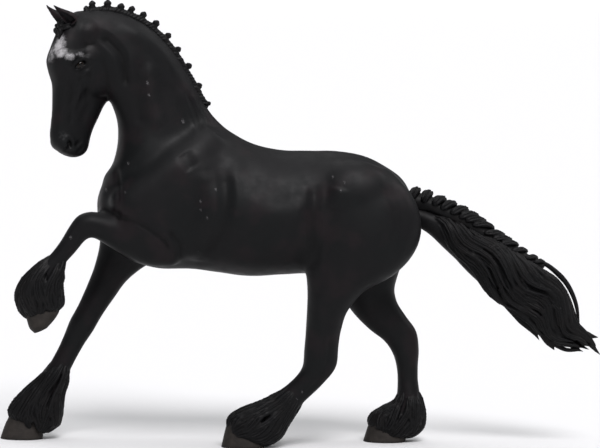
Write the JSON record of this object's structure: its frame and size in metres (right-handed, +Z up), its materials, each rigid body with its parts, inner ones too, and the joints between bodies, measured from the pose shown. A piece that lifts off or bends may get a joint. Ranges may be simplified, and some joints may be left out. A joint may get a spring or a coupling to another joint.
{
  "type": "toy horse figure",
  "caption": "Solid moulded toy figure of a black draught-type riding horse in a canter, with plaited mane, plaited tail and feathered feet.",
  "frame": {"origin": "on the floor, under the middle of the figure's bounding box", "axes": "+Z up, -X the way the horse faces, -Y its left side, +X towards the tail"},
  "size_m": [0.1627, 0.0351, 0.1219],
  "materials": {
    "coat": "satin black paint on solid PVC, with a dry-brushed grey star and small scuffs",
    "hair": "black painted hair, sculpted in ridges and locks",
    "hooves": "dull grey-brown paint",
    "eyes": "glossy dark brown"
  },
  "bodies": {
    "root": {"torso": "coat", "neck": "coat", "head": "coat", "ear_left": "coat", "ear_right": "coat", "eye_left": "eyes", "eye_right": "eyes", "foreleg_left": "coat", "foreleg_right": "coat", "hindleg_left": "coat", "hindleg_right": "coat", "fore_left_fetlock": "hair", "fore_right_fetlock": "hair", "hind_left_fetlock": "hair", "hind_right_fetlock": "hair", "fore_left_hoof": "hooves", "fore_right_hoof": "hooves", "hind_left_hoof": "hooves", "hind_right_hoof": "hooves", "mane": "hair", "forelock": "hair", "tail_dock": "hair", "tail_hair": "hair"}
  },
  "joints": []
}
